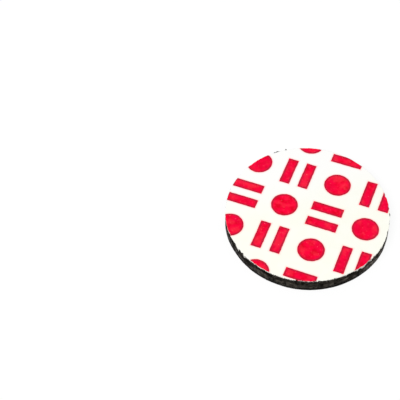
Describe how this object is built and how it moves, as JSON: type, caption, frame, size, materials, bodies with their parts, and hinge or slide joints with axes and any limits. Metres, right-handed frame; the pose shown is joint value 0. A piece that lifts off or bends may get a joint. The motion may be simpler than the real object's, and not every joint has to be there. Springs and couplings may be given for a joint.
{
  "type": "adhesive magnetic disc",
  "caption": "Flat round flexible magnet punched from rubber sheet, with an adhesive back under a peel-off printed paper liner.",
  "frame": {"origin": "centre of the bare magnet face, which is the bottom of the disc as it lies", "axes": "+Z along the disc's axis, out through the release liner; X and Y are free, because the disc is round, and +Y points away from the viewer of the main view"},
  "size_m": [0.02, 0.02, 0.002],
  "materials": {
    "magnetic_rubber": "satin",
    "adhesive": "satin",
    "liner_paper": "satin"
  },
  "bodies": {
    "root": {"magnet_disc": "magnetic_rubber", "adhesive_layer": "adhesive", "release_liner": "liner_paper"}
  },
  "joints": []
}
